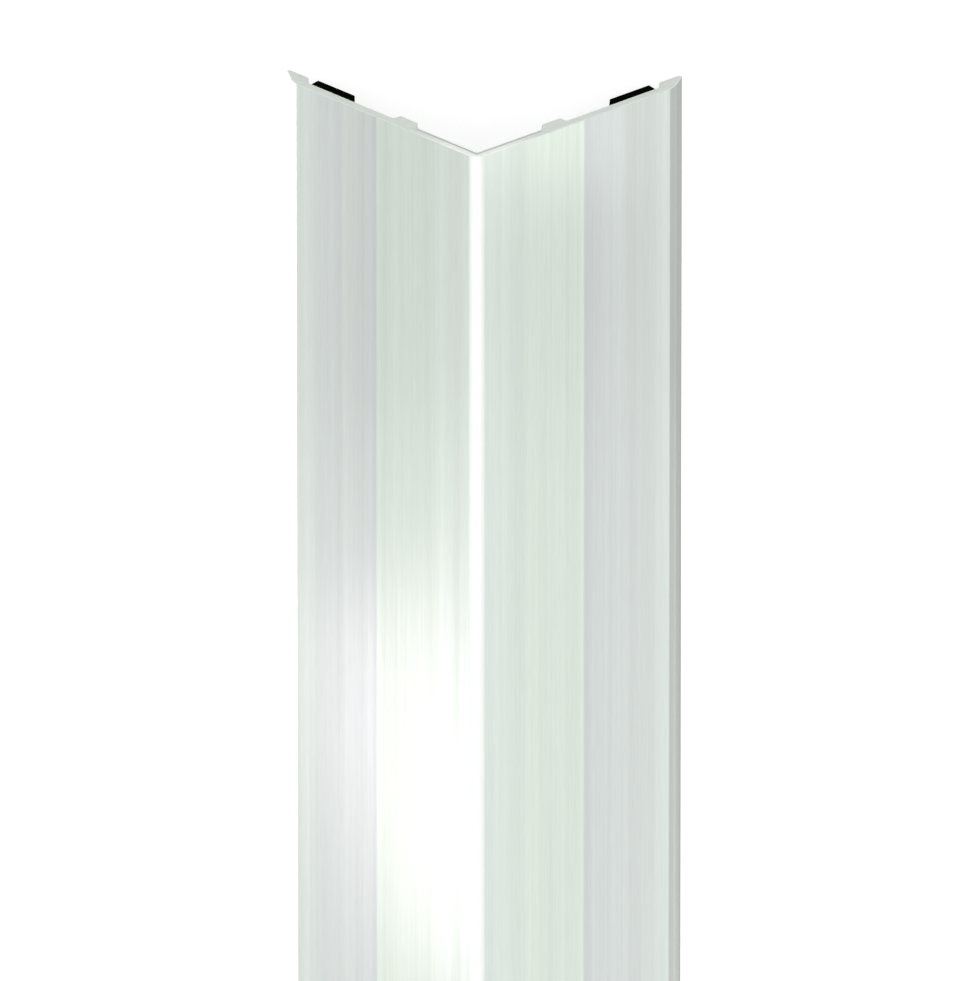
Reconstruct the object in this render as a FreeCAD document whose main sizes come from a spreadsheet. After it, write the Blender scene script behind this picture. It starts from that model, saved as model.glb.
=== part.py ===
import FreeCAD, Part
import os

import Sketcher

# Corner guard moulding for an outside wall corner, in millimetres.
#
# One extruded aluminium angle, with a self-adhesive foam strip inside each leg.
# It lies like a tent, as it would on a level floor: the nosing runs along the top,
# both feathered edges rest on the floor, and the length lies along Y.
# The origin is on the floor, under the middle of the nosing.
#
# Sections are drawn in the frame of the right leg, whose X runs along the outer face
# from the sharp corner where the two faces would meet, and whose Y points out of the face.

# Driving sizes: name, value, what it is
SIZES = [
    ("guard_length", 1200.0, "length that the stock is sold in"),
    ("corner_angle", 90.0, "angle between the two legs, in degrees"),
    ("leg_width", 50.0, "sharp outer corner to feathered edge, along the outer face"),
    ("wall_thickness", 1.8, "thickness of the leg between its ribs"),
    ("back_depth", 3.4, "outer face to the backs of lip and rib, which meet the wall"),
    ("nosing_radius", 2.0, "round along the outer corner"),
    ("shoulder_run", 1.9, "first, shallow facet at the edge: run along the leg"),
    ("shoulder_drop", 0.6, "first facet: fall from the outer face"),
    ("feather_run", 3.5, "second, steeper facet: run along the leg"),
    ("feather_edge", 0.6, "thickness left at the feathered edge"),
    ("lip_land", 4.7, "flat back of the lip, from the feathered edge"),
    ("rib_distance", 22.4, "sharp outer corner to the outward side of the rib"),
    ("rib_land", 4.2, "flat back of the rib"),
    ("lead_angle", 45.0, "lean of the sides that face the corner, in degrees"),
    ("root_radius", 0.3, "round in the inside corners of the section"),
    ("edge_radius", 0.25, "round on the free edges of lip and rib"),
    ("strip_width", 10.7, "foam strip where it is stuck to the leg"),
    ("strip_thickness", 2.0, "foam strip before it is pressed on"),
    ("strip_gap", 0.8, "foot of the lip to the outward side of the strip"),
    ("strip_lean", 0.4, "how far the strip's outward side leans out at its back"),
]

# Height of the sharp outer corner, with the rounded backs of the feathered edges on the floor
APEX_HEIGHT = ("(sizes.leg_width - sizes.edge_radius) * cos(sizes.corner_angle / 2)"
               " + (sizes.back_depth - sizes.edge_radius) * sin(sizes.corner_angle / 2)"
               " + sizes.edge_radius")

# Places along a leg that several outlines share
RIB_LEAD = "(sizes.back_depth - sizes.wall_thickness) * tan(sizes.lead_angle)"
LIP_FOOT = "sizes.leg_width - sizes.lip_land - " + RIB_LEAD
STRIP_OUTWARD = LIP_FOOT + " - sizes.strip_gap"
STRIP_INWARD = STRIP_OUTWARD + " - sizes.strip_width"

# The right leg's corners: name, distance along the leg, distance out of the face.
# No rule means that the corner lies on that axis.
LEG_OUTLINE = [
    ("nose", None, None),
    ("shoulder", "sizes.leg_width - sizes.feather_run - sizes.shoulder_run", None),
    ("feather_top", "sizes.leg_width - sizes.feather_run", "-sizes.shoulder_drop"),
    ("edge_face", "sizes.leg_width", "sizes.feather_edge - sizes.back_depth"),
    ("edge_back", "sizes.leg_width", "-sizes.back_depth"),
    ("lip_back", "sizes.leg_width - sizes.lip_land", "-sizes.back_depth"),
    ("lip_foot", LIP_FOOT, "-sizes.wall_thickness"),
    ("rib_outward_foot", "sizes.rib_distance", "-sizes.wall_thickness"),
    ("rib_outward_back", "sizes.rib_distance", "-sizes.back_depth"),
    ("rib_inward_back", "sizes.rib_distance - sizes.rib_land", "-sizes.back_depth"),
    ("rib_inward_foot", "sizes.rib_distance - sizes.rib_land - " + RIB_LEAD, "-sizes.wall_thickness"),
    ("inner_corner", "sizes.wall_thickness / tan(sizes.corner_angle / 2)", "-sizes.wall_thickness"),
]
ROOTS = ("lip_foot", "rib_outward_foot", "rib_inward_foot", "inner_corner")
FREE_EDGES = ("edge_face", "edge_back", "lip_back", "rib_outward_back", "rib_inward_back")

STRIP_BACK = "-(sizes.wall_thickness + sizes.strip_thickness)"
STRIP_OUTLINE = [
    ("outward_foot", STRIP_OUTWARD, "-sizes.wall_thickness"),
    ("outward_back", STRIP_OUTWARD + " + sizes.strip_lean", STRIP_BACK),
    ("inward_back", STRIP_INWARD + " + sizes.strip_thickness * tan(sizes.lead_angle)", STRIP_BACK),
    ("inward_foot", STRIP_INWARD, "-sizes.wall_thickness"),
]

# Nearer than this, two places are the same corner
SAME_PLACE = 1e-4


def make_sheet(doc):
    """Put the driving sizes in a sheet, one row each, with the name as the value's alias."""
    sheet = doc.addObject("Spreadsheet::Sheet", "sizes")
    for row, (name, value, meaning) in enumerate(SIZES, start=1):
        sheet.set("A%d" % row, name)
        sheet.set("B%d" % row, str(value))
        sheet.set("C%d" % row, meaning)
        sheet.setAlias("B%d" % row, name)
    doc.recompute()


def origin_plane(body, role):
    """Give the body's own origin plane of that role."""
    return next(plane for plane in body.Origin.OriginFeatures if plane.Role == role)


def leg_sketch(body):
    """Start a sketch on the body's XZ plane, turned and lifted into the right leg's frame."""
    sketch = body.newObject("Sketcher::SketchObject", body.Label + "_section")
    sketch.AttachmentSupport = [(origin_plane(body, "XZ_Plane"), "")]
    sketch.MapMode = "FlatFace"
    sketch.AttachmentOffset = FreeCAD.Placement(
        FreeCAD.Vector(0, 1, 0), FreeCAD.Rotation(FreeCAD.Vector(0, 0, -1), 45))
    sketch.setExpression("AttachmentOffset.Rotation.Angle", "90 - sizes.corner_angle / 2")
    sketch.setExpression("AttachmentOffset.Base.y", APEX_HEIGHT)
    return sketch


def draw_outline(sketch, outline):
    """Draw a closed outline of straight lines and bind each corner's two distances."""
    spots = []
    for _, along, out in outline:
        spots.append(FreeCAD.Vector(
            sketch.evalExpression(along) if along else 0,
            sketch.evalExpression(out) if out else 0, 0))
    count = len(spots)
    for index in range(count):
        sketch.addGeometry(Part.LineSegment(spots[index], spots[(index + 1) % count]), False)
    for index in range(count):
        sketch.addConstraint(Sketcher.Constraint("Coincident", index, 2, (index + 1) % count, 1))
    for index, (name, along, out) in enumerate(outline):
        bind_distance(sketch, index, "DistanceX", name + "_along", along)
        bind_distance(sketch, index, "DistanceY", name + "_out", out)


def bind_distance(sketch, index, kind, name, rule):
    """Hold a line's first end at a signed distance from the origin, or on the axis."""
    if rule is None:
        other_axis = -2 if kind == "DistanceX" else -1
        sketch.addConstraint(Sketcher.Constraint("PointOnObject", index, 1, other_axis))
        return
    distance = sketch.evalExpression(rule)
    number = sketch.addConstraint(Sketcher.Constraint(kind, -1, 1, index, 1, distance))
    sketch.renameConstraint(number, name)
    sketch.setExpression("Constraints." + name, rule)


def pad_along_length(body, sketch):
    """Extrude the section over the guard's length, half to each side."""
    pad = body.newObject("PartDesign::Pad", body.Label + "_extrusion")
    pad.Profile = sketch
    pad.SideType = "Symmetric"
    pad.setExpression("Length", "sizes.guard_length")
    sketch.Visibility = False
    return pad


def corner_places(sketch, outline, names):
    """Give the named corners' places in the model, on both legs."""
    places = []
    for index, (name, _, _) in enumerate(outline):
        if name in names:
            right = sketch.Placement.multVec(sketch.getPoint(index, 1))
            places.append(right)
            places.append(FreeCAD.Vector(-right.x, right.y, right.z))
    return places


def edges_at(shape, places):
    """Name the edges that run lengthwise through any of the places."""
    found = []
    for number, edge in enumerate(shape.Edges, start=1):
        first = edge.Vertexes[0].Point
        last = edge.Vertexes[-1].Point
        for place in places:
            if all(abs(end.x - place.x) + abs(end.z - place.z) < SAME_PLACE for end in (first, last)):
                found.append("Edge%d" % number)
                break
    return found


def round_edges(body, base, name, radius_alias, places):
    """Round the lengthwise edges at those places by the radius that the sheet gives."""
    edges = edges_at(base.Shape, places)
    if not edges:
        raise RuntimeError("no edge found to round for " + name)
    fillet = body.newObject("PartDesign::Fillet", name)
    fillet.Base = (base, edges)
    fillet.setExpression("Radius", "sizes." + radius_alias)
    body.Document.recompute()
    return fillet


def make_profile(doc):
    """Aluminium angle: half the section, extruded, mirrored over the corner's middle, rounded."""
    body = doc.addObject("PartDesign::Body", "profile")
    body.Label = "profile"
    sketch = leg_sketch(body)
    draw_outline(sketch, LEG_OUTLINE)
    leg = pad_along_length(body, sketch)

    angle = body.newObject("PartDesign::Mirrored", "both_legs")
    angle.Originals = [leg]
    angle.MirrorPlane = (origin_plane(body, "YZ_Plane"), [""])
    body.Tip = angle
    doc.recompute()

    nose = corner_places(sketch, LEG_OUTLINE, ("nose",))
    nosing = round_edges(body, angle, "nosing", "nosing_radius", nose)
    roots = corner_places(sketch, LEG_OUTLINE, ROOTS)
    root_rounds = round_edges(body, nosing, "root_rounds", "root_radius", roots)
    free_edges = corner_places(sketch, LEG_OUTLINE, FREE_EDGES)
    round_edges(body, root_rounds, "edge_rounds", "edge_radius", free_edges)
    return body


def make_strip(doc, label, turn):
    """Foam strip on the inside of a leg; the left one is the right one turned half round."""
    body = doc.addObject("PartDesign::Body", label)
    body.Label = label
    sketch = leg_sketch(body)
    draw_outline(sketch, STRIP_OUTLINE)
    pad_along_length(body, sketch)
    body.Placement = FreeCAD.Placement(
        FreeCAD.Vector(0, 0, 0), FreeCAD.Rotation(FreeCAD.Vector(0, 0, 1), turn))
    return body


def check(doc, pieces):
    """Stop if any object failed, or if a piece is not one sound solid."""
    for item in doc.Objects:
        if "Invalid" in item.State or "Error" in item.State:
            raise RuntimeError("%s failed: %s" % (item.Label, item.State))
    for piece in pieces:
        shape = piece.Shape
        if shape.isNull() or not shape.isValid() or len(shape.Solids) != 1:
            raise RuntimeError(piece.Label + " is not one sound solid")


def main():
    doc = FreeCAD.newDocument("corner_guard")
    make_sheet(doc)
    pieces = [
        make_profile(doc),
        make_strip(doc, "adhesive_strip_right", 0),
        make_strip(doc, "adhesive_strip_left", 180),
    ]
    doc.recompute()
    check(doc, pieces)
    os.makedirs("parts", exist_ok=True)
    for piece in pieces:
        piece.Shape.exportStep("parts/%s.step" % piece.Label)
        box = piece.Shape.BoundBox
        print("%s: %.1f x %.1f x %.1f mm, volume %.0f mm3"
              % (piece.Label, box.XLength, box.YLength, box.ZLength, piece.Shape.Volume))


main()
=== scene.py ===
import math

import bpy
import numpy as np
from bpy.props import FloatProperty, FloatVectorProperty, IntProperty, PointerProperty
from mathutils import Matrix, Quaternion, Vector


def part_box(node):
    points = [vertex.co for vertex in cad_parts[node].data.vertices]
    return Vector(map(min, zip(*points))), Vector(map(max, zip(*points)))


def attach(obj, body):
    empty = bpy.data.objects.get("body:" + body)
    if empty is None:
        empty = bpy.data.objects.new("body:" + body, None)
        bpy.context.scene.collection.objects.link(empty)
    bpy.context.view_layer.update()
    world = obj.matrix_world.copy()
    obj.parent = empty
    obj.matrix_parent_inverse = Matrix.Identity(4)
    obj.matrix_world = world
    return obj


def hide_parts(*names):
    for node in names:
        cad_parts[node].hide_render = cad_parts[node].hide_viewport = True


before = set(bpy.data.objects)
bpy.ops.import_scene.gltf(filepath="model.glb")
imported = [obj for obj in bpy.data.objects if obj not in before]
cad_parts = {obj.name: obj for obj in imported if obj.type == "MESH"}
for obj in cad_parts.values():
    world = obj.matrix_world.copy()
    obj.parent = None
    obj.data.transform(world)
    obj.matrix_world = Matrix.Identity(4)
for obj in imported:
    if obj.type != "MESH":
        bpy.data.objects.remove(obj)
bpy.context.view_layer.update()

bl_info = {
    "name": "Corner Guard Moulding",
    "version": (1, 0, 0),
    "blender": (4, 5, 0),
    "location": "View3D > Sidebar > Corner Guard",
    "description": "Builds an extruded aluminium corner guard with foam strips in its legs",
    "category": "Add Mesh",
}

# The solids' box, before any piece is added, and the piece of stock that sets the length
PROFILE_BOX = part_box("profile")
LENGTH = PROFILE_BOX[1].y - PROFILE_BOX[0].y

# Each leg leans 45 degrees, so a step along it or into it is this much across and down
LEAN = math.sqrt(0.5)

SIDES = {"right": 1, "left": -1}

# The reference picture, in pixels, and where the sharp corner of the shown end lies in it
PICTURE_WIDTH = 980
PICTURE_HEIGHT = 981
NOSE_ACROSS = 476.4
NOSE_DOWN = 158.5

# Width of the camera's sensor, in millimetres
SENSOR_WIDTH = 36.0

# Nearly all of a noise texture's values lie between these
NOISE_LOW = 0.3
NOISE_HIGH = 0.7

# Strength of each octave of the die lines' noise, against the one before it
OCTAVE_STRENGTH = 0.75

# Saw lines: changes in a metre along and across them, and their slant on the sawn end
SAW_ALONG = 400
SAW_ACROSS = 5000
SAW_SLANT = math.radians(20)

# Closed cells of the foam in a metre
FOAM_CELLS = 4500.0


def distance(name, description, default):
    """Property for a length in metres."""
    return FloatProperty(
        name=name, description=description, default=default, min=0, precision=5,
        subtype="DISTANCE", unit="LENGTH")


def share(name, description, default):
    """Property for a number from 0 to 1."""
    return FloatProperty(name=name, description=description, default=default, min=0, max=1)


def colour(name, description, default):
    """Property for a linear colour."""
    return FloatVectorProperty(
        name=name, description=description, default=default, min=0, max=1, size=3,
        subtype="COLOR")


def factors(name, description, default):
    """Property for a factor on each of red, green and blue."""
    return FloatVectorProperty(
        name=name, description=description, default=default, min=0, max=2, size=3)


class GuardSection(bpy.types.PropertyGroup):
    """Sizes of the extruded section, and of the strips that lie in it."""

    leg_width: distance("Leg", "Sharp outer corner to feathered edge", 0.050)
    wall: distance("Wall", "Thickness between the ribs", 0.0018)
    back_depth: distance("Back depth", "Outer face to the backs of lip and rib", 0.0034)
    nosing_radius: distance("Nosing", "Round along the outer corner", 0.0020)
    shoulder_run: distance("Shoulder run", "First facet, along the leg", 0.0019)
    shoulder_drop: distance("Shoulder drop", "First facet, fall from the face", 0.0006)
    feather_run: distance("Feather run", "Second facet, along the leg", 0.0035)
    feather_edge: distance("Feathered edge", "Thickness left at the edge", 0.0006)
    lip_land: distance("Lip land", "Flat back of the lip", 0.0047)
    rib_distance: distance("Rib distance", "Sharp outer corner to the rib's outward side", 0.0224)
    rib_land: distance("Rib land", "Flat back of the rib", 0.0042)
    root_radius: distance("Root round", "Round in the section's inside corners", 0.0003)
    edge_radius: distance("Edge round", "Round on the free edges of lip and rib", 0.00025)
    facet_radius: distance("Facet round", "Round between the facets of the edge", 0.0003)
    cut_break: distance("Cut break", "Broken edge round the sawn ends", 0.00012)
    strip_width: distance("Strip width", "Foam strip where it is stuck on", 0.0107)
    strip_thickness: distance("Strip thickness", "Foam strip before it is pressed", 0.0020)
    strip_gap: distance("Strip gap", "Foot of the lip to the strip", 0.0008)
    strip_lean: distance("Strip lean", "Outward side's lean at its back", 0.0004)
    strip_round: distance("Strip round", "Round on the strip's free edges", 0.00015)
    arc_steps: IntProperty(
        name="Arc steps", description="Straight pieces in each round", default=9, min=1, max=64)


class GuardFinish(bpy.types.PropertyGroup):
    """Colours and surface of the finishes."""

    # Painted highlight: the nosing's crest is given a near-white tone.
    crest_highlight_tone: colour("Crest tone", "Rounded nosing, painted bright", (0.96, 0.98, 0.96))
    nose_tone: colour("Nose tone", "Anodised face beside the nosing", (0.700, 0.758, 0.717))
    inner_tone: colour("Inner tone", "Anodised face over and inside the rib", (0.682, 0.750, 0.680))
    outer_tone: colour("Outer tone", "Anodised face outside the rib", (0.645, 0.681, 0.664))
    lip_tone: colour("Lip tone", "Anodised face over the lip", (0.706, 0.758, 0.723))
    # Painted shade: both facets of the edge are given tones darker than the face.
    shoulder_shade_tone: colour("Shoulder tone", "First facet of the edge", (0.56, 0.585, 0.57))
    feather_shade_tone: colour("Feather tone", "Second facet of the edge", (0.53, 0.56, 0.54))
    # Painted highlight: a lighter line on the round between the two facets.
    facet_highlight: colour("Facet line", "Thin line between the two facets", (0.605, 0.635, 0.615))
    step_light: colour("Step light", "Thin line just inside the tone step", (0.709, 0.777, 0.709))
    step_dark: colour("Step dark", "Thin line just outside the tone step", (0.612, 0.648, 0.632))
    cut_tone: colour("Cut tone", "Sawn ends", (0.81, 0.86, 0.81))
    # Painted highlight: the sawn ends are painted brighter towards the corner.
    cut_highlight_tone: colour("Highlit cut tone", "Sawn ends towards the corner", (0.97, 1.0, 0.96))
    # A darker line on the sawn ends, along the inside face of the corner.
    inside_line_tone: colour("Darkline tone", "Sawn ends along the inside of the corner", (0.66, 0.68, 0.66))
    cool_tint: factors("Cool tint", "On the anodised tones in cooler lines", (0.992, 1.002, 1.006))
    warm_tint: factors("Warm tint", "On the anodised tones in warmer lines", (1.006, 1.002, 0.992))
    satin: share("Satin", "Roughness of the anodised face", 0.36)
    satin_spread: share("Satin spread", "How far the roughness goes up and down", 0.08)
    line_depth: distance("Line depth", "Depth of the lines from the die", 0.00001)
    saw_depth: distance("Saw depth", "Depth of the saw lines", 0.00002)
    inside_line_width: distance("Darkline width", "Darkline along the inside of the corner", 0.0009)
    seed: FloatProperty(name="Seed", description="Moves the die lines across the legs", default=33.3)
    step_place: share("Tone step", "Where inner meets outer tone, as a share of the leg", 0.492)
    foam_tone: colour("Foam", "Cell walls of the foam", (0.001, 0.001, 0.001))
    cell_depth: distance("Cell depth", "Depth of the foam's cells", 0.00008)


class GuardStage(bpy.types.PropertyGroup):
    """Camera, lamps and floor."""

    elevation: FloatProperty(
        name="Elevation", description="View's rise over the square end's plane",
        default=math.radians(23.14), subtype="ANGLE", unit="ROTATION")
    turn: FloatProperty(
        name="Turn", description="View's turn about the length, towards the right leg",
        default=math.radians(2.08), subtype="ANGLE", unit="ROTATION")
    lens: FloatProperty(name="Lens", description="Focal length in millimetres", default=1600)
    picture_height: distance("Picture height", "Height of the picture at the nose", 0.16476)
    glow_tone: colour("Glow tone", "Light of the small lamp on the left leg", (1.0, 0.81, 0.925))
    sky: share("Sky", "Strength of the plain white sky", 0.866)
    floor_half: distance("Floor", "Half the side of the square floor", 6.0)
    floor_tone: share("Floor tone", "Grey of the floor as the lamps light it", 0.69)
    floor_lift: share("Floor lift", "Light the floor adds where the camera sees it", 0.725)
    mirror_lift: share("Mirror lift", "Light the floor adds where metal mirrors it", 0.21)


# Meshes


def rounded_outline(corners, radii, steps):
    """Round every corner of a closed outline.

    A side's heading is a, and its left normal is (-sin a, cos a). An arc begins
    r * tan(turn / 2) before its corner. Its centre lies r to the side it turns to, and
    its points are centre - r * side * normal(a), with a going evenly from the heading
    before the corner to the heading after it. Gives the points and their normals.
    """
    forward = np.roll(corners, -1, axis=0) - corners
    heading_after = np.arctan2(forward[:, 1], forward[:, 0])
    heading_before = np.roll(heading_after, 1)
    turn = (heading_after - heading_before + math.pi) % (2 * math.pi) - math.pi
    side = np.sign(turn)
    before = np.stack([np.cos(heading_before), np.sin(heading_before)], axis=1)
    normal_before = np.stack([-before[:, 1], before[:, 0]], axis=1)
    start = corners - before * (radii * np.tan(np.abs(turn) / 2))[:, None]
    centre = start + normal_before * (radii * side)[:, None]
    share_of_turn = np.linspace(0, 1, steps + 1)
    heading = heading_before[:, None] + turn[:, None] * share_of_turn
    normals = np.stack([-np.sin(heading), np.cos(heading)], axis=2)
    points = centre[:, None] - normals * (radii * side)[:, None, None]
    return points.reshape(-1, 2), normals.reshape(-1, 2)


def apex_height(section):
    """Height of the sharp outer corner: the rounded backs of the feathered edges are at 0."""
    edge = section.edge_radius
    return (section.leg_width + section.back_depth - 2 * edge) * LEAN + edge


def leg_place(section, along, depth, side):
    """Places in the X-Z plane from distances along a leg and into it.

    x = side * (along - depth) * LEAN and z = apex - (along + depth) * LEAN.
    """
    return np.stack(
        [side * (along - depth) * LEAN, apex_height(section) - (along + depth) * LEAN], axis=-1)


def profile_outline(section):
    """The angle's closed outline, clockwise from the nose when looking along +Y."""
    lip = section.leg_width - section.lip_land
    rib = section.rib_distance - section.rib_land
    lead = section.back_depth - section.wall
    root, edge, facet = section.root_radius, section.edge_radius, section.facet_radius
    leg = np.array([
        (section.leg_width - section.feather_run - section.shoulder_run, 0, facet),
        (section.leg_width - section.feather_run, section.shoulder_drop, facet),
        (section.leg_width, section.back_depth - section.feather_edge, edge),
        (section.leg_width, section.back_depth, edge),
        (lip, section.back_depth, edge),
        (lip - lead, section.wall, root),
        (section.rib_distance, section.wall, root),
        (section.rib_distance, section.back_depth, edge),
        (rib, section.back_depth, edge),
        (rib - lead, section.wall, root),
    ])
    nose = np.array([(0, 0, section.nosing_radius)])
    inside = np.array([(section.wall, section.wall, root)])
    whole = np.concatenate([nose, leg, inside, leg[::-1]])
    side = np.concatenate([np.ones(len(leg) + 2), -np.ones(len(leg))])
    corners = leg_place(section, whole[:, 0], whole[:, 1], side)
    return rounded_outline(corners, whole[:, 2], section.arc_steps)


def strip_outline(section, side):
    """A foam strip's closed outline, clockwise when looking along +Y."""
    lip_foot = section.leg_width - section.lip_land - (section.back_depth - section.wall)
    outward = lip_foot - section.strip_gap
    inward = outward - section.strip_width
    back = section.wall + section.strip_thickness
    small = section.strip_round
    corners = np.array([
        (inward, section.wall, small),
        (outward, section.wall, small),
        (outward + section.strip_lean, back, small),
        (inward + section.strip_thickness, back, small),
    ])[::side]
    places = leg_place(section, corners[:, 0], corners[:, 1], side)
    return rounded_outline(places, corners[:, 2], section.arc_steps)


def extruded(name, outline, normals, break_size):
    """Carry a closed outline along Y and close its ends.

    Point (i, j) is outline_j - inset_i * normal_j at y_i. The inset is 0, apart from the
    two end stations, where it is the size of the broken edge. Faces 0 to N - 1 and the
    last N are the broken edges, and the two faces after them are the ends.
    """
    half = LENGTH / 2
    along = np.array([-half, break_size - half, half - break_size, half])
    inset = np.array([break_size, 0, 0, break_size])
    count = len(outline)
    flat = outline[None] - inset[:, None, None] * normals[None]
    places = np.stack([flat[..., 0], np.broadcast_to(along[:, None], flat.shape[:2]), flat[..., 1]], 2)

    here = np.arange(count)
    following = np.roll(here, -1)
    row = (np.arange(len(along) - 1) * count)[:, None]
    quads = np.stack([row + here, row + following, row + count + following, row + count + here], 2)
    last_row = (len(along) - 1) * count
    faces = quads.reshape(-1, 4).tolist()
    faces.append(here[::-1].tolist())
    faces.append((last_row + here).tolist())

    mesh = bpy.data.meshes.new(name)
    mesh.from_pydata(places.reshape(-1, 3), [], faces)
    mesh.shade_smooth()

    facing = np.stack([normals, normals[following], normals[following], normals], axis=1)
    tilt = np.array([-1.0, 0.0, 1.0])
    sides = np.zeros((len(tilt), count, 4, 3))
    sides[..., 0] = facing[None, ..., 0]
    sides[..., 1] = tilt[:, None, None]
    sides[..., 2] = facing[None, ..., 1]
    ends = np.zeros((2, count, 3))
    ends[:, :, 1] = np.array([-1.0, 1.0])[:, None]
    split = np.concatenate([sides.reshape(-1, 3), ends.reshape(-1, 3)])
    split /= np.linalg.norm(split, axis=1, keepdims=True)
    mesh.normals_split_custom_set(split)

    slots = np.zeros(len(faces), dtype=np.int32)
    slots[:count] = 1
    slots[2 * count:] = 1
    mesh.polygons.foreach_set("material_index", slots)
    mesh.validate()
    return mesh


def add_piece(name, mesh, materials, node):
    """Link a finished piece, let it ride with the stock and stand for its solid."""
    for material in materials:
        mesh.materials.append(material)
    piece = bpy.data.objects.new(name, mesh)
    bpy.context.collection.objects.link(piece)
    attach(piece, "root")
    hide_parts(node)
    return piece


# Materials


def add_node(tree, kind, inputs=None, **settings):
    """Add a node, with its settings and with values or links for its sockets."""
    node = tree.nodes.new(kind)
    for name, value in settings.items():
        setattr(node, name, value)
    for socket, value in (inputs or {}).items():
        if isinstance(value, bpy.types.NodeSocket):
            tree.links.new(value, node.inputs[socket])
        else:
            node.inputs[socket].default_value = value
    return node


def new_material(name):
    """Give an empty material with a Principled shader on its output."""
    material = bpy.data.materials.new(name)
    material.use_nodes = True
    tree = material.node_tree
    tree.nodes.clear()
    shader = add_node(tree, "ShaderNodeBsdfPrincipled")
    add_node(tree, "ShaderNodeOutputMaterial", {"Surface": shader.outputs[0]})
    return material, tree, shader


def leg_distances(tree, section):
    """Object coordinates, and distances along a leg and into it, the same for both legs.

    With drop = apex - z, along is (drop + |x|) * LEAN and depth is (drop - |x|) * LEAN.
    """
    place = add_node(tree, "ShaderNodeTexCoord").outputs["Object"]
    parts = add_node(tree, "ShaderNodeSeparateXYZ", {0: place})
    across = add_node(tree, "ShaderNodeMath", {0: parts.outputs["X"]}, operation="ABSOLUTE")
    drop = add_node(tree, "ShaderNodeMath", {
        0: apex_height(section), 1: parts.outputs["Z"]}, operation="SUBTRACT")
    distances = []
    for operation in ("ADD", "SUBTRACT"):
        both = add_node(tree, "ShaderNodeMath", {
            0: drop.outputs[0], 1: across.outputs[0]}, operation=operation)
        leaned = add_node(tree, "ShaderNodeMath", {0: both.outputs[0], 1: LEAN}, operation="MULTIPLY")
        distances.append(leaned.outputs[0])
    return place, *distances


def step_at(tree, value, low, high):
    """Rise smoothly from 0 at low to 1 at high, or fall where low is the greater."""
    step = add_node(tree, "ShaderNodeMapRange", {
        "Value": value, "From Min": low, "From Max": high}, interpolation_type="SMOOTHSTEP")
    return step.outputs[0]


def lines_along(tree, place, across, along, detail, low, high, seed=0.0):
    """Noise drawn out along the length, that many changes a metre across and along it.

    It goes from low to high, and the seed shifts it to another part of the noise.
    """
    drawn = add_node(tree, "ShaderNodeVectorMath", {
        0: place, 1: (across, along, across), 2: (seed, seed, seed)}, operation="MULTIPLY_ADD")
    noise = add_node(tree, "ShaderNodeTexNoise", {
        "Vector": drawn.outputs[0], "Scale": 1.0, "Detail": detail,
        "Roughness": OCTAVE_STRENGTH})
    spread = add_node(tree, "ShaderNodeMapRange", {
        "Value": noise.outputs[0], "From Min": NOISE_LOW, "From Max": NOISE_HIGH,
        "To Min": low, "To Max": high})
    return spread.outputs[0]


def tone_stops(section, finish):
    """Tones along a leg: each place, as a share of the leg's width, with the tone there.

    A thin light line and a thin dark line mark the step from the inner to the outer tone.
    The nosing's crest holds a painted highlight, the two facets are painted darker as shade,
    and a painted highlight lies on the round between the two facets.
    """
    step = finish.step_place
    feather = 1 - section.feather_run / section.leg_width
    shoulder = feather - section.shoulder_run / section.leg_width
    return [
        (0.020, finish.crest_highlight_tone),
        (0.040, finish.nose_tone),
        (0.250, finish.inner_tone),
        (step - 0.025, finish.inner_tone),
        (step - 0.010, finish.step_light),
        (step, finish.step_light),
        (step + 0.006, finish.step_dark),
        (step + 0.015, finish.step_dark),
        (step + 0.045, finish.outer_tone),
        (0.740, finish.outer_tone),
        (0.860, finish.lip_tone),
        (shoulder - 0.002, finish.lip_tone),
        (shoulder + 0.004, finish.shoulder_shade_tone),
        (feather - 0.009, finish.shoulder_shade_tone),
        (feather - 0.005, finish.facet_highlight),
        (feather + 0.005, finish.facet_highlight),
        (feather + 0.009, finish.feather_shade_tone),
    ]


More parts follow.
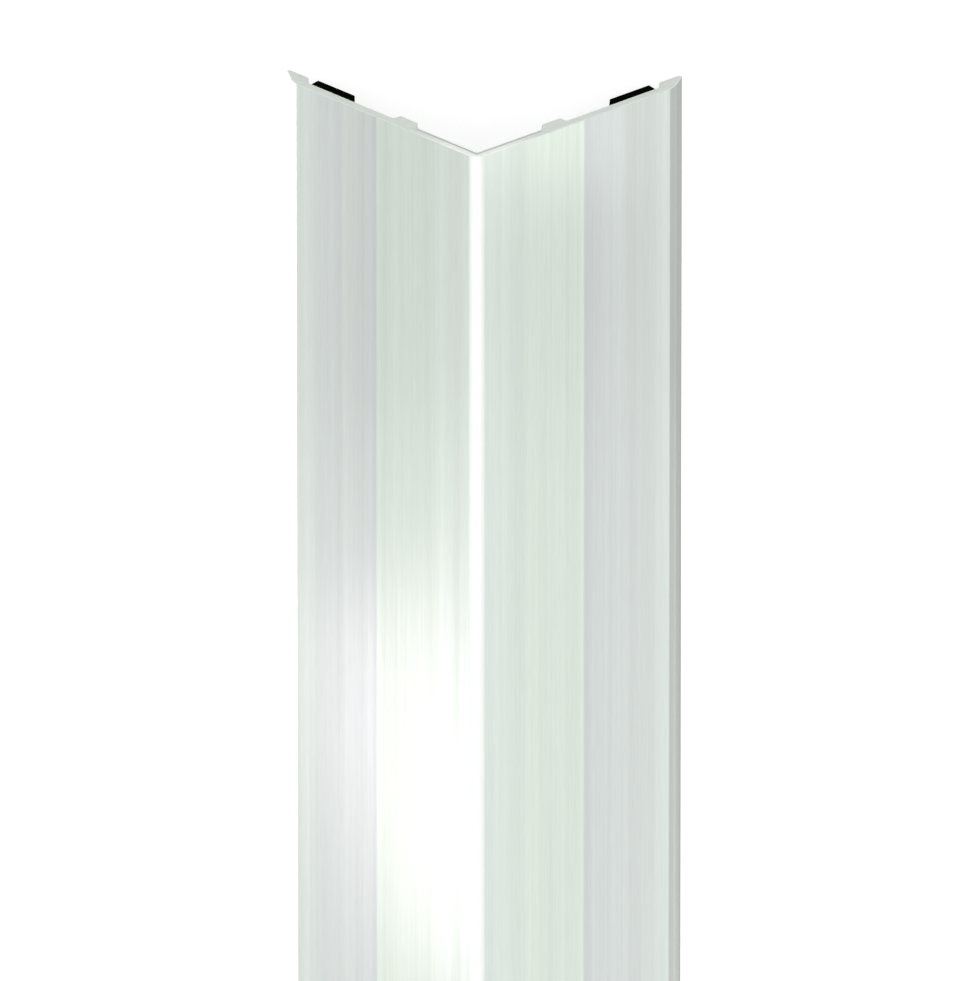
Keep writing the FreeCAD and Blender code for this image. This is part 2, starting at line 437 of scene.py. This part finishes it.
def anodised_material(section, finish):
    """Satin anodised aluminium: tone bands along the legs, and fine lines from the die."""
    material, tree, shader = new_material("anodised_aluminium")
    place, along, _ = leg_distances(tree, section)
    share_of_leg = add_node(tree, "ShaderNodeMath", {
        0: along, 1: section.leg_width}, operation="DIVIDE")
    # The bands carry painted light: a highlight on the nosing's crest and on the round between the
    # facets, and shade on both facets.
    bands = add_node(tree, "ShaderNodeValToRGB", {0: share_of_leg.outputs[0]})
    stops = tone_stops(section, finish)
    elements = bands.color_ramp.elements
    # New stops start at the far end, so they stay in order while they are placed
    while len(elements) < len(stops):
        elements.new(1.0)
    for element, (where, tone) in zip(elements, stops):
        element.position = where
        element.color = (*tone, 1)

    streaks = lines_along(
        tree, place, across=290, along=1.5, detail=5, low=0.93, high=1.07, seed=finish.seed)
    scratches = lines_along(tree, place, across=3200, along=180, detail=1, low=0.98, high=1.02)
    warmth = lines_along(tree, place, across=330, along=1.1, detail=3, low=0, high=1)
    tint = add_node(tree, "ShaderNodeMix", {
        "Factor": warmth, "A": (*finish.cool_tint, 1), "B": (*finish.warm_tint, 1)},
        data_type="RGBA")
    strength = add_node(tree, "ShaderNodeMath", {0: streaks, 1: scratches}, operation="MULTIPLY")
    tinted = add_node(tree, "ShaderNodeVectorMath", {
        0: bands.outputs[0], 1: tint.outputs["Result"]}, operation="MULTIPLY")
    base = add_node(tree, "ShaderNodeVectorMath", {0: tinted.outputs[0]}, operation="SCALE")
    tree.links.new(strength.outputs[0], base.inputs["Scale"])
    tree.links.new(base.outputs[0], shader.inputs["Base Color"])

    shader.inputs["Metallic"].default_value = 1.0
    rough = lines_along(
        tree, place, across=700, along=3, detail=3,
        low=finish.satin - finish.satin_spread, high=finish.satin + finish.satin_spread)
    tree.links.new(rough, shader.inputs["Roughness"])
    relief = lines_along(tree, place, across=3000, along=5, detail=2, low=0, high=1)
    bump = add_node(tree, "ShaderNodeBump", {
        "Strength": 0.25, "Distance": finish.line_depth, "Height": relief})
    tree.links.new(bump.outputs[0], shader.inputs["Normal"])
    return material


def sawn_material(section, finish):
    """Sawn aluminium: fine saw lines, a painted highlight towards the corner, and a darker line along
    the inside of the corner.
    """
    material, tree, shader = new_material("sawn_aluminium")
    place, along, depth = leg_distances(tree, section)
    slanted = add_node(tree, "ShaderNodeMapping", {
        "Vector": place, "Rotation": (0, SAW_SLANT, 0),
        "Scale": (SAW_ALONG, SAW_ALONG, SAW_ACROSS)})
    lines = add_node(tree, "ShaderNodeTexNoise", {
        "Vector": slanted.outputs[0], "Scale": 1.0, "Detail": 2.0})
    tone = add_node(tree, "ShaderNodeMapRange", {
        "Value": lines.outputs[0], "From Min": NOISE_LOW, "From Max": NOISE_HIGH,
        "To Min": 0.94, "To Max": 1.04})

    rib_foot = section.rib_distance - section.rib_land - (section.back_depth - section.wall)
    # A darker line on the sawn end along the inside face, between the corner and the rib's foot.
    inside_line_foot = section.wall - finish.inside_line_width
    half_inside_line = finish.inside_line_width / 2
    inside_rib = step_at(tree, along, rib_foot, rib_foot - half_inside_line)
    near_back = step_at(tree, depth, inside_line_foot, inside_line_foot + half_inside_line)
    inside_line = add_node(tree, "ShaderNodeMath", {0: inside_rib, 1: near_back}, operation="MULTIPLY")
    # Painted highlight: the sawn end turns brighter towards the corner.
    highlight_end = 0.3 * rib_foot
    corner_highlight = step_at(tree, along, rib_foot, highlight_end)
    cut = add_node(tree, "ShaderNodeMix", {
        "Factor": corner_highlight, "A": (*finish.cut_tone, 1), "B": (*finish.cut_highlight_tone, 1)},
        data_type="RGBA")
    with_inside_line = add_node(tree, "ShaderNodeMix", {
        "Factor": inside_line.outputs[0], "A": cut.outputs["Result"], "B": (*finish.inside_line_tone, 1)},
        data_type="RGBA")
    base = add_node(tree, "ShaderNodeVectorMath", {0: with_inside_line.outputs["Result"]}, operation="SCALE")
    tree.links.new(tone.outputs[0], base.inputs["Scale"])
    tree.links.new(base.outputs[0], shader.inputs["Base Color"])

    shader.inputs["Metallic"].default_value = 1.0
    shader.inputs["Roughness"].default_value = 0.7
    bump = add_node(tree, "ShaderNodeBump", {
        "Strength": 0.4, "Distance": finish.saw_depth, "Height": lines.outputs[0]})
    tree.links.new(bump.outputs[0], shader.inputs["Normal"])
    return material


def foam_material(finish):
    """Black closed-cell foam: small cells, with thin walls a little lighter than their hollows."""
    material, tree, shader = new_material("foam_tape")
    place = add_node(tree, "ShaderNodeTexCoord").outputs["Object"]
    cells = add_node(tree, "ShaderNodeTexVoronoi", {"Vector": place, "Scale": FOAM_CELLS})
    tone = add_node(tree, "ShaderNodeMapRange", {
        "Value": cells.outputs["Distance"], "From Min": 0.0, "From Max": 0.6,
        "To Min": 0.4, "To Max": 1.0})
    base = add_node(tree, "ShaderNodeVectorMath", {0: finish.foam_tone}, operation="SCALE")
    tree.links.new(tone.outputs[0], base.inputs["Scale"])
    tree.links.new(base.outputs[0], shader.inputs["Base Color"])
    shader.inputs["Roughness"].default_value = 0.9
    shader.inputs["Specular IOR Level"].default_value = 0.01
    bump = add_node(tree, "ShaderNodeBump", {
        "Strength": 0.5, "Distance": finish.cell_depth, "Height": cells.outputs["Distance"]})
    tree.links.new(bump.outputs[0], shader.inputs["Normal"])
    return material


def either(tree, first, second):
    """The greater of two numbers, so 1 where either of two kinds of ray is 1."""
    return add_node(tree, "ShaderNodeMath", {0: first, 1: second}, operation="MAXIMUM").outputs[0]


def floor_material(stage):
    """Plain floor that keeps soft shadows; where it is seen or mirrored, it is lifted to white."""
    material = bpy.data.materials.new("white_floor")
    material.use_nodes = True
    tree = material.node_tree
    tree.nodes.clear()
    grey = stage.floor_tone
    matt = add_node(tree, "ShaderNodeBsdfDiffuse", {"Color": (grey, grey, grey, 1)})
    rays = add_node(tree, "ShaderNodeLightPath").outputs
    seen = add_node(tree, "ShaderNodeMath", {
        0: rays["Is Camera Ray"], 1: stage.floor_lift}, operation="MULTIPLY")
    mirrored = either(tree, rays["Is Glossy Ray"], rays["Is Transmission Ray"])
    strength = add_node(tree, "ShaderNodeMath", {
        0: mirrored, 1: stage.mirror_lift, 2: seen.outputs[0]}, operation="MULTIPLY_ADD")
    glow = add_node(tree, "ShaderNodeEmission", {
        "Color": (1, 1, 1, 1), "Strength": strength.outputs[0]})
    both = add_node(tree, "ShaderNodeAddShader", {0: matt.outputs[0], 1: glow.outputs[0]})
    add_node(tree, "ShaderNodeOutputMaterial", {"Surface": both.outputs[0]})
    return material


# Stage


def sky_world(stage):
    """Plain sky of the stage's strength, which is white where it is seen or mirrored."""
    world = bpy.data.worlds.new("sky")
    world.use_nodes = True
    tree = world.node_tree
    rays = add_node(tree, "ShaderNodeLightPath").outputs
    mirrored = either(tree, rays["Is Glossy Ray"], rays["Is Transmission Ray"])
    seen = either(tree, rays["Is Camera Ray"], mirrored)
    strength = add_node(tree, "ShaderNodeMath", {0: seen, 1: 1 - stage.sky, 2: stage.sky},
                        operation="MULTIPLY_ADD")
    background = tree.nodes["Background"]
    background.inputs["Color"].default_value = (1, 1, 1, 1)
    tree.links.new(strength.outputs[0], background.inputs["Strength"])
    return world


def add_floor(stage):
    """Square floor, level with the bottom of the guard."""
    half = stage.floor_half
    corners = [(-half, -half, 0), (half, -half, 0), (half, half, 0), (-half, half, 0)]
    mesh = bpy.data.meshes.new("floor")
    mesh.from_pydata(corners, [], [(0, 1, 2, 3)])
    mesh.materials.append(floor_material(stage))
    floor = bpy.data.objects.new("floor", mesh)
    bpy.context.collection.objects.link(floor)


def add_lamp(name, place, aim, width, height, power, shape="RECTANGLE", roll=0.0, tone=(1, 1, 1)):
    """Flat lamp that faces a point, turned by roll about that line, and isn't seen itself."""
    lamp = bpy.data.lights.new(name, "AREA")
    lamp.shape = shape
    lamp.size = width
    lamp.size_y = height
    lamp.energy = power
    lamp.color = tone
    holder = bpy.data.objects.new(name, lamp)
    bpy.context.collection.objects.link(holder)
    holder.location = place
    facing = (aim - place).to_track_quat("-Z", "Y")
    holder.rotation_euler = (facing @ Quaternion((0, 0, 1), roll)).to_euler()
    holder.visible_camera = False


def towards_camera(stage):
    """Direction from the part to the camera, for the elevation e and the turn t about Y.

    It is (cos e * sin t, sin e, cos e * cos t).
    """
    e, t = stage.elevation, stage.turn
    return Vector((math.cos(e) * math.sin(t), math.sin(e), math.cos(e) * math.cos(t)))


def mirrored_by_leg(stage, side):
    """Direction in which the camera sees past a leg's face: 2 * (back . n) * n - back."""
    back = towards_camera(stage)
    face = Vector((side * LEAN, 0, LEAN))
    return 2 * back.dot(face) * face - back


def add_lamps(stage):
    """One wide lamp overhead, and small ones that the guard mirrors to the camera.

    The lamps edge and foot lie just over the floor beside the left and the right bevel,
    glow and halo light the left leg, and kicker and bank the right one. All but edge,
    which runs the whole length, have their places counted from the floor under the
    middle of the shown end.
    """
    end = Vector((0, LENGTH / 2, 0))
    middle = end + Vector((0, -0.3, 0))
    add_lamp("overhead", middle + Vector((0, 0, 0.5)), middle, width=6.0, height=3.0, power=2.5)

    up = Vector((0, 0, 1))
    gap = 0.0037
    lift = 0.0003
    beside = Vector((PROFILE_BOX[0].x - gap, 0, lift))
    add_lamp("edge", beside, beside + up, width=0.007, height=LENGTH, power=0.058)
    beside = end + Vector((PROFILE_BOX[1].x + gap, -0.33, lift))
    add_lamp("foot", beside, beside + up, width=0.0075, height=0.55, power=0.0026, shape="ELLIPSE")

    left = mirrored_by_leg(stage, SIDES["left"])
    spot = end + Vector((-0.0057, -0.1174, 0.0327))
    add_lamp("glow", spot + 0.075 * left, spot, width=0.0755, height=0.0232, power=0.00415,
             shape="ELLIPSE", roll=math.radians(17.5), tone=stage.glow_tone)
    spot = end + Vector((-0.0055, -0.1182, 0.0540))
    add_lamp("halo", spot + 0.075 * left, spot, width=0.127, height=0.086, power=0.0060)

    right = mirrored_by_leg(stage, SIDES["right"])
    spot = end + Vector((0.0288, 0.0040, 0.0308))
    add_lamp("kicker", spot + 0.040 * right, spot, width=0.034, height=0.028, power=0.00115)
    spot = end + Vector((0.0111, -0.1309, 0.0668))
    add_lamp("bank", spot + 0.120 * right, spot, width=0.161, height=0.138, power=0.0092)


def add_camera(section, stage):
    """Camera that looks down on the shown end, with the nose at its place in the picture.

    Up is the length's direction as the picture shows it, so edges along the length stand
    upright.
    """
    back = towards_camera(stage)
    right = Vector((math.cos(stage.turn), 0, -math.sin(stage.turn)))
    up = back.cross(right)
    metre_per_pixel = stage.picture_height / PICTURE_HEIGHT
    nose = Vector((0, LENGTH / 2, apex_height(section)))
    centre = (
        nose
        + right * (PICTURE_WIDTH / 2 - NOSE_ACROSS) * metre_per_pixel
        + up * (NOSE_DOWN - PICTURE_HEIGHT / 2) * metre_per_pixel
    )
    away = stage.picture_height * stage.lens / SENSOR_WIDTH
    data = bpy.data.cameras.new("camera")
    data.lens = stage.lens
    data.sensor_width = SENSOR_WIDTH
    data.clip_end = 2 * away
    camera = bpy.data.objects.new("camera", data)
    bpy.context.collection.objects.link(camera)
    turned = Matrix((right, up, back)).transposed().to_4x4()
    camera.matrix_world = Matrix.Translation(centre + back * away) @ turned
    bpy.context.scene.camera = camera


# Operators


class CORNERGUARD_OT_profile(bpy.types.Operator):
    """Make the extruded aluminium angle"""

    bl_idname = "corner_guard.profile"
    bl_label = "Make profile"

    def execute(self, context):
        """Make the angle from the section's sizes, with its two materials."""
        section = context.scene.guard_section
        finish = context.scene.guard_finish
        outline, normals = profile_outline(section)
        mesh = extruded("guard_profile", outline, normals, section.cut_break)
        materials = [anodised_material(section, finish), sawn_material(section, finish)]
        add_piece("guard_profile", mesh, materials, "profile")
        return {"FINISHED"}


class CORNERGUARD_OT_strips(bpy.types.Operator):
    """Make the foam strip inside each leg"""

    bl_idname = "corner_guard.strips"
    bl_label = "Make foam strips"

    def execute(self, context):
        """Make both strips from the section's sizes, with one material."""
        section = context.scene.guard_section
        foam = foam_material(context.scene.guard_finish)
        for word, side in SIDES.items():
            name = "foam_strip_" + word
            outline, normals = strip_outline(section, side)
            mesh = extruded(name, outline, normals, section.strip_round)
            add_piece(name, mesh, [foam, foam], "adhesive_strip_" + word)
        return {"FINISHED"}


class CORNERGUARD_OT_stage(bpy.types.Operator):
    """Make the floor, sky, lamps and camera"""

    bl_idname = "corner_guard.stage"
    bl_label = "Make stage"

    def execute(self, context):
        """Make the floor, sky, lamps and camera from the stage's numbers."""
        scene = context.scene
        stage = scene.guard_stage
        scene.view_settings.view_transform = "Standard"
        scene.world = sky_world(stage)
        add_floor(stage)
        add_lamps(stage)
        add_camera(scene.guard_section, stage)
        return {"FINISHED"}


class CORNERGUARD_PT_panel(bpy.types.Panel):
    """Lists the guard's pieces and their sizes"""

    bl_idname = "CORNERGUARD_PT_panel"
    bl_label = "Corner Guard"
    bl_space_type = "VIEW_3D"
    bl_region_type = "UI"
    bl_category = "Corner Guard"

    def draw(self, context):
        """Show a button for each operator, and a box with each group's numbers."""
        layout = self.layout
        for operator in OPERATORS:
            layout.operator(operator.bl_idname)
        scene = context.scene
        for group in (scene.guard_section, scene.guard_finish, scene.guard_stage):
            box = layout.box()
            for name in group.__annotations__:
                box.prop(group, name)


OPERATORS = (CORNERGUARD_OT_profile, CORNERGUARD_OT_strips, CORNERGUARD_OT_stage)
GROUPS = (GuardSection, GuardFinish, GuardStage)


def register():
    """Register the classes and hang the groups of numbers on the scene."""
    for item in (*GROUPS, *OPERATORS, CORNERGUARD_PT_panel):
        bpy.utils.register_class(item)
    bpy.types.Scene.guard_section = PointerProperty(type=GuardSection)
    bpy.types.Scene.guard_finish = PointerProperty(type=GuardFinish)
    bpy.types.Scene.guard_stage = PointerProperty(type=GuardStage)


def unregister():
    """Take the groups of numbers off the scene and the classes out again."""
    del bpy.types.Scene.guard_stage
    del bpy.types.Scene.guard_finish
    del bpy.types.Scene.guard_section
    for item in reversed((*GROUPS, *OPERATORS, CORNERGUARD_PT_panel)):
        bpy.utils.unregister_class(item)


def main():
    """Register the groups of numbers, then make every piece and the stage."""
    register()
    bpy.ops.corner_guard.profile()
    bpy.ops.corner_guard.strips()
    bpy.ops.corner_guard.stage()


if __name__ == "__main__":
    main()
